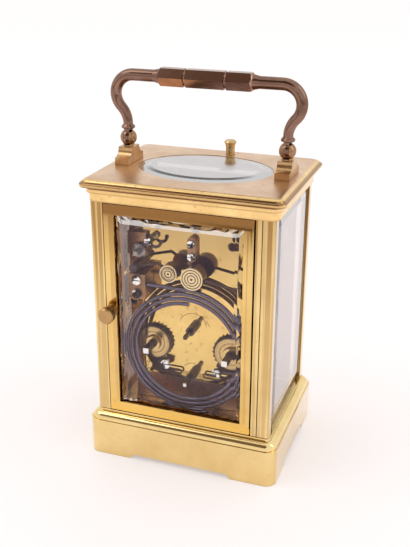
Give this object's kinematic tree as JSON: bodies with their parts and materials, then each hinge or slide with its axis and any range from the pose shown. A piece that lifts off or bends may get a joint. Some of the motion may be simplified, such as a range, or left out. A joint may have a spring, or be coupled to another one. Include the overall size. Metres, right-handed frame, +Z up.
{
  "type": "carriage clock",
  "caption": "Upright brass clock case with bevelled glasses, a folding carrying handle, a rear door and a striking movement with a coiled gong.",
  "frame": {"origin": "on the standing surface, under the middle of the footprint with the door knob", "axes": "+Z up, the dial looks along -Y, the glazed rear door along +Y, the handle runs along X"},
  "size_m": [0.08, 0.0662, 0.1555],
  "materials": {
    "case_brass": "polished",
    "top_brass": "satin",
    "handle_brass": "polished",
    "fitting_brass": "polished",
    "clear_glass": "polished",
    "gilt_plate": "satin",
    "old_brass": "satin",
    "wheel_brass": "polished",
    "polished_steel": "polished",
    "blued_steel": "polished",
    "white_enamel": "gloss"
  },
  "bodies": {
    "case": {"plinth": "case_brass", "pillar_front_left": "case_brass", "pillar_front_right": "case_brass", "pillar_back_left": "case_brass", "pillar_back_right": "case_brass", "door_post": "case_brass", "cornice": "top_brass", "top_glass": "clear_glass", "side_glass_left": "clear_glass", "side_glass_right": "clear_glass", "front_glass": "clear_glass", "handle_block_left": "fitting_brass", "handle_block_right": "fitting_brass", "handle_pins": "polished_steel", "lever_bracket": "polished_steel", "movement_seat": "old_brass", "back_plate": "gilt_plate", "front_plate": "gilt_plate", "plate_spacers": "gilt_plate", "dial": "white_enamel", "click_screws": "polished_steel", "click_springs": "polished_steel", "alarm_bridge": "old_brass", "gong": "blued_steel", "gong_block": "old_brass", "movement_screws": "polished_steel", "hammer_cock": "old_brass", "hammer_posts": "polished_steel", "platform": "gilt_plate", "balance_cock": "gilt_plate", "hairspring": "blued_steel"},
    "door": {"door_frame": "case_brass", "door_glass": "clear_glass", "door_knob": "case_brass"},
    "handle": {"handle_arm_left": "handle_brass", "handle_arm_right": "handle_brass", "handle_grip": "handle_brass"},
    "repeat_button": {"repeat_button": "fitting_brass"},
    "repeat_lever": {"repeat_lever": "polished_steel"},
    "set_arbor": {"set_arbor": "polished_steel"},
    "minute_hand": {"minute_hand": "blued_steel"},
    "hour_hand": {"hour_hand": "blued_steel"},
    "alarm_arbor": {"alarm_arbor": "polished_steel"},
    "second_wheel": {"second_wheel": "wheel_brass"},
    "going_barrel": {"going_barrel": "wheel_brass"},
    "centre_wheel": {"centre_wheel": "wheel_brass"},
    "third_wheel": {"third_wheel": "wheel_brass"},
    "pin_wheel": {"pin_wheel": "wheel_brass"},
    "strike_barrel": {"strike_barrel": "wheel_brass"},
    "fly": {"fly": "wheel_brass"},
    "going_winder": {"going_winder": "polished_steel"},
    "strike_winder": {"strike_winder": "polished_steel"},
    "alarm_winder": {"alarm_winder": "polished_steel"},
    "going_click": {"going_click": "polished_steel"},
    "strike_click": {"strike_click": "polished_steel"},
    "alarm_click": {"alarm_click": "polished_steel"},
    "strike_hammer": {"strike_hammer": "wheel_brass"},
    "alarm_hammer": {"alarm_hammer": "wheel_brass"},
    "balance": {"balance": "wheel_brass"},
    "escape_wheel": {"escape_wheel": "wheel_brass"}
  },
  "joints": [
    {"name": "door_turn", "type": "hinge", "parent": "case", "child": "door", "pos_m": [-0.02745, 0.02545, 0.064], "axis": [0, 0, 1], "range_deg": [0, 95]},
    {"name": "handle_turn", "type": "hinge", "parent": "case", "child": "handle", "pos_m": [0, -0.00145, 0.1276], "axis": [1, 0, 0], "range_deg": [-90, 80]},
    {"name": "repeat_button_slide", "type": "slide", "parent": "case", "child": "repeat_button", "axis": [0, 0, -1], "range_m": [0, 0.0015], "stiffness_N_per_m": 300, "springref_m": -0.001},
    {"name": "repeat_lever_turn", "type": "hinge", "parent": "case", "child": "repeat_lever", "pos_m": [-0.0024, -0.0212, 0.1115], "axis": [1, 0, 0], "range_deg": [0, 23.5]},
    {"name": "set_arbor_turn", "type": "hinge", "parent": "case", "child": "set_arbor", "pos_m": [0, -0.00245, 0.0555], "axis": [0, 1, 0], "continuous": true},
    {"name": "minute_hand_turn", "type": "hinge", "parent": "case", "child": "minute_hand", "pos_m": [0, -0.01645, 0.0678], "axis": [0, 1, 0], "continuous": true},
    {"name": "hour_hand_turn", "type": "hinge", "parent": "case", "child": "hour_hand", "pos_m": [0, -0.01645, 0.0678], "axis": [0, 1, 0], "continuous": true},
    {"name": "alarm_arbor_turn", "type": "hinge", "parent": "case", "child": "alarm_arbor", "pos_m": [0, -0.00245, 0.0347], "axis": [0, 1, 0], "continuous": true},
    {"name": "second_wheel_turn", "type": "hinge", "parent": "case", "child": "second_wheel", "pos_m": [-0.01123, -0.00245, 0.06357], "axis": [0, 1, 0], "continuous": true},
    {"name": "going_barrel_turn", "type": "hinge", "parent": "case", "child": "going_barrel", "pos_m": [-0.0165, -0.00245, 0.0473], "axis": [0, 1, 0], "continuous": true},
    {"name": "centre_wheel_turn", "type": "hinge", "parent": "case", "child": "centre_wheel", "pos_m": [0, -0.00245, 0.0678], "axis": [0, 1, 0], "continuous": true},
    {"name": "third_wheel_turn", "type": "hinge", "parent": "case", "child": "third_wheel", "pos_m": [-0.00529, -0.00245, 0.07923], "axis": [0, 1, 0], "continuous": true},
    {"name": "pin_wheel_turn", "type": "hinge", "parent": "case", "child": "pin_wheel", "pos_m": [0.01123, -0.00245, 0.06357], "axis": [0, 1, 0], "continuous": true},
    {"name": "strike_barrel_turn", "type": "hinge", "parent": "case", "child": "strike_barrel", "pos_m": [0.0165, -0.00245, 0.0473], "axis": [0, 1, 0], "continuous": true},
    {"name": "fly_turn", "type": "hinge", "parent": "case", "child": "fly", "pos_m": [0.01602, -0.00245, 0.07391], "axis": [0, 1, 0], "continuous": true},
    {"name": "going_winder_turn", "type": "hinge", "parent": "case", "child": "going_winder", "pos_m": [-0.0165, 0.01155, 0.0473], "axis": [0, 1, 0], "continuous": true},
    {"name": "strike_winder_turn", "type": "hinge", "parent": "case", "child": "strike_winder", "pos_m": [0.0165, 0.01155, 0.0473], "axis": [0, 1, 0], "continuous": true},
    {"name": "alarm_winder_turn", "type": "hinge", "parent": "case", "child": "alarm_winder", "pos_m": [0.0213, 0.01355, 0.0872], "axis": [0, 1, 0], "continuous": true},
    {"name": "going_click_turn", "type": "hinge", "parent": "case", "child": "going_click", "pos_m": [-0.0111, 0.01195, 0.0386], "axis": [0, -1, 0], "range_deg": [0, 6], "stiffness_Nm_per_rad": 0.002},
    {"name": "strike_click_turn", "type": "hinge", "parent": "case", "child": "strike_click", "pos_m": [0.0111, 0.01195, 0.0386], "axis": [0, 1, 0], "range_deg": [0, 6], "stiffness_Nm_per_rad": 0.002},
    {"name": "alarm_click_turn", "type": "hinge", "parent": "case", "child": "alarm_click", "pos_m": [0.0171, 0.01355, 0.0918], "axis": [0, 1, 0], "range_deg": [0, 10], "stiffness_Nm_per_rad": 0.002},
    {"name": "strike_hammer_turn", "type": "hinge", "parent": "case", "child": "strike_hammer", "pos_m": [-0.0236, 0.01855, 0.0769], "axis": [0, -1, 0], "range_deg": [0, 12]},
    {"name": "alarm_hammer_turn", "type": "hinge", "parent": "case", "child": "alarm_hammer", "pos_m": [0.0218, 0.01855, 0.08173], "axis": [0, 1, 0], "range_deg": [-7, 12], "stiffness_Nm_per_rad": 0.02},
    {"name": "balance_turn", "type": "hinge", "parent": "case", "child": "balance", "pos_m": [0, 0.00155, 0.1046], "axis": [0, 0, 1], "range_deg": [-135, 135], "stiffness_Nm_per_rad": 0.000012},
    {"name": "escape_wheel_turn", "type": "hinge", "parent": "case", "child": "escape_wheel", "pos_m": [-0.0118, 0.00155, 0.1024], "axis": [0, 0, 1], "continuous": true}
  ],
  "couplings": [
    {"joint": "repeat_lever_turn", "follows": "repeat_button_slide", "rad_per_m": 270},
    {"joint": "minute_hand_turn", "follows": "set_arbor_turn", "ratio": -1},
    {"joint": "hour_hand_turn", "follows": "set_arbor_turn", "ratio": -0.083333},
    {"joint": "going_barrel_turn", "follows": "second_wheel_turn", "ratio": -0.1875},
    {"joint": "centre_wheel_turn", "follows": "second_wheel_turn", "ratio": -3},
    {"joint": "third_wheel_turn", "follows": "second_wheel_turn", "ratio": 12.75},
    {"joint": "strike_barrel_turn", "follows": "pin_wheel_turn", "ratio": -0.1875},
    {"joint": "fly_turn", "follows": "pin_wheel_turn", "ratio": -3.75}
  ]
}
